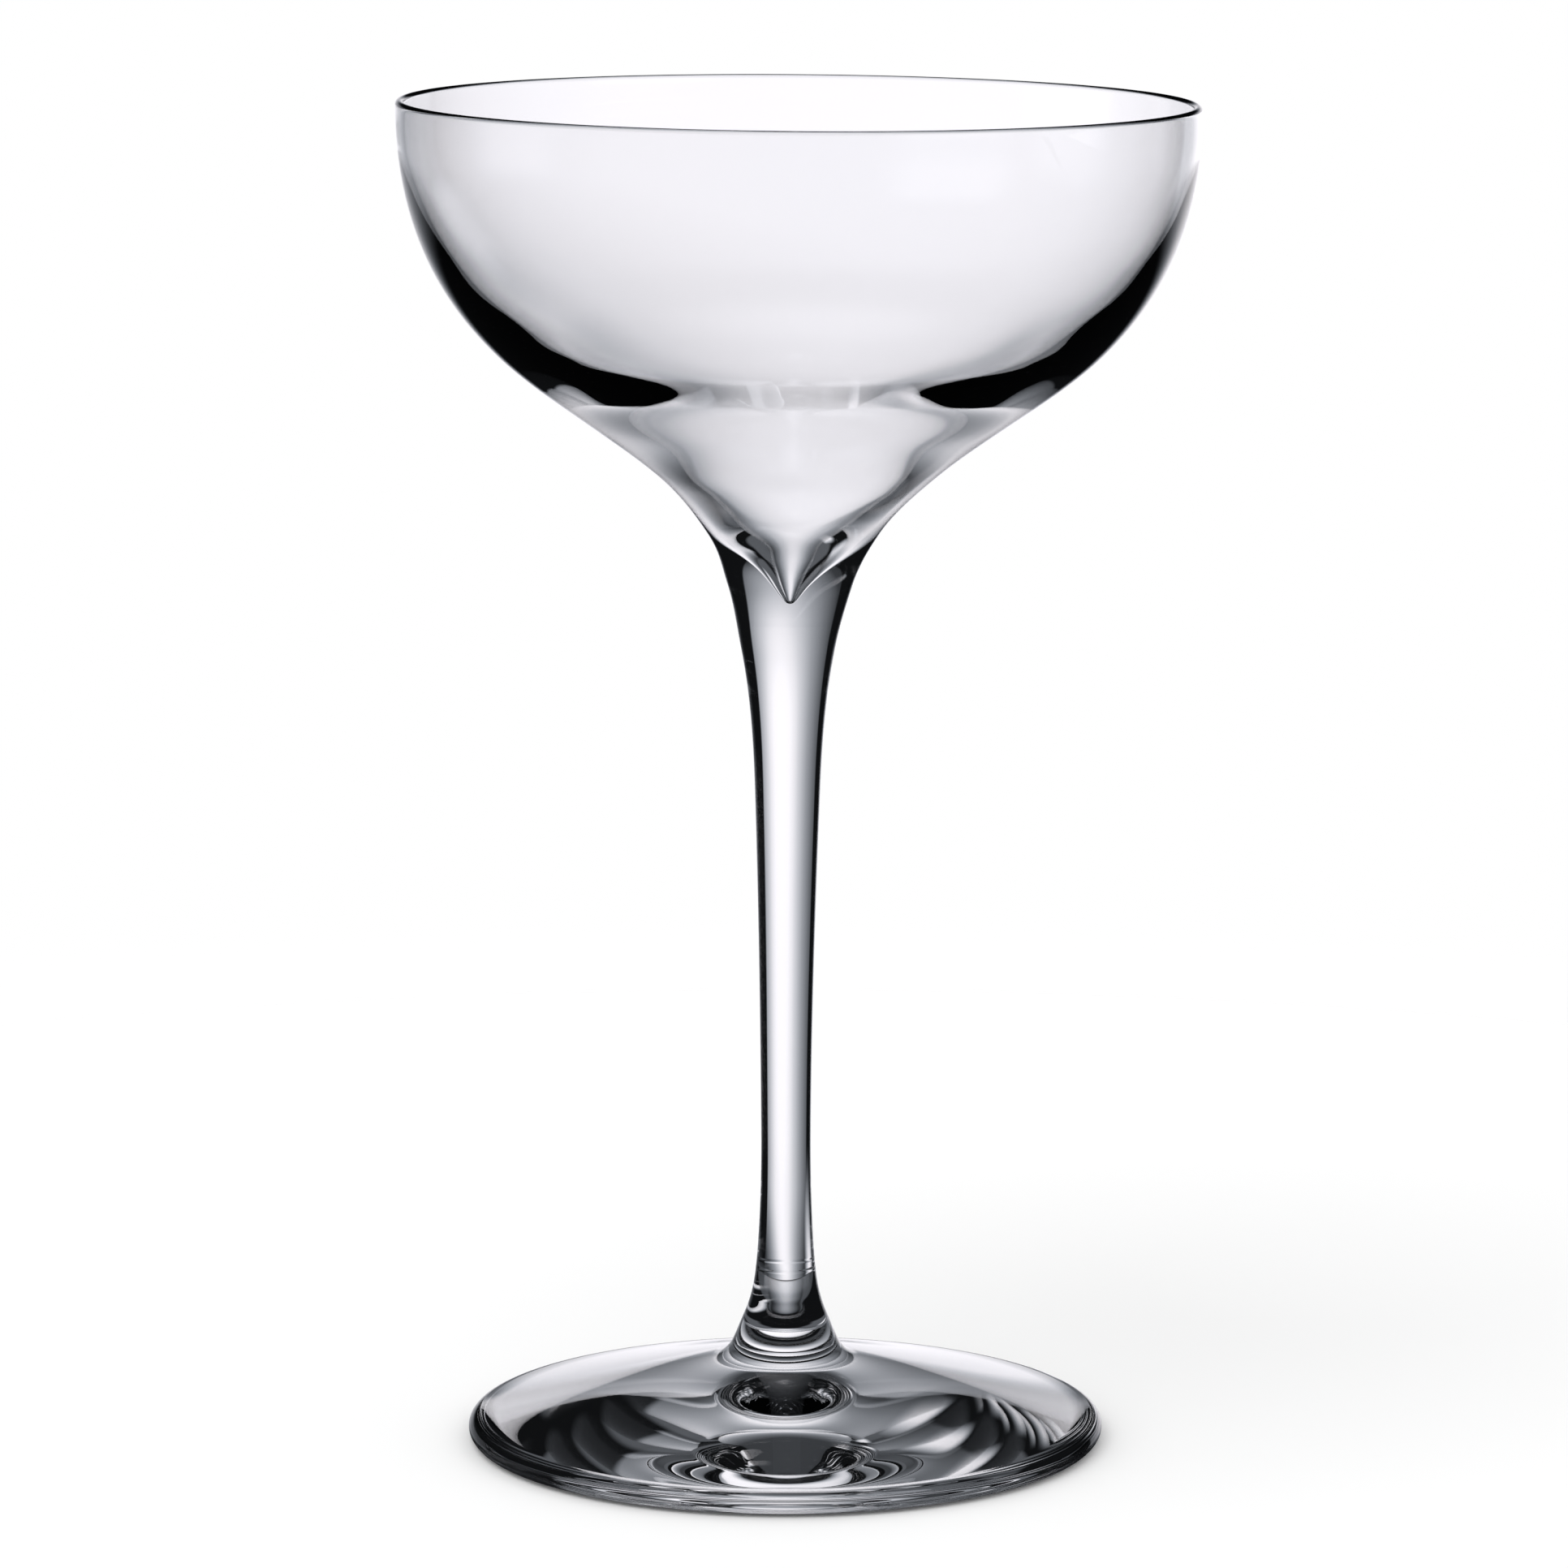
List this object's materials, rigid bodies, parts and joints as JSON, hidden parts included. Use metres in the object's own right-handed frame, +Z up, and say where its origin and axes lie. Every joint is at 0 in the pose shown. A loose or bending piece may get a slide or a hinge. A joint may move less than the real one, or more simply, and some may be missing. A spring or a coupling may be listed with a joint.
{
  "type": "coupe glass",
  "caption": "Stemmed drinking glass with a wide open bowl drawn down into a slender tapering stem on a low conical foot, for sparkling wine and cocktails.",
  "frame": {"origin": "centre of the plane that the foot stands on, on the glass's axis", "axes": "+Z up along the axis of the stem, from the foot to the rim; X and Y are free, because the glass is turned"},
  "size_m": [0.0952, 0.0952, 0.162],
  "materials": {
    "bowl_glass": "clear, fire-polished",
    "stem_glass": "clear, fire-polished",
    "foot_glass": "clear, fire-polished"
  },
  "bodies": {
    "root": {"bowl": "bowl_glass", "stem": "stem_glass", "foot": "foot_glass"}
  },
  "joints": []
}
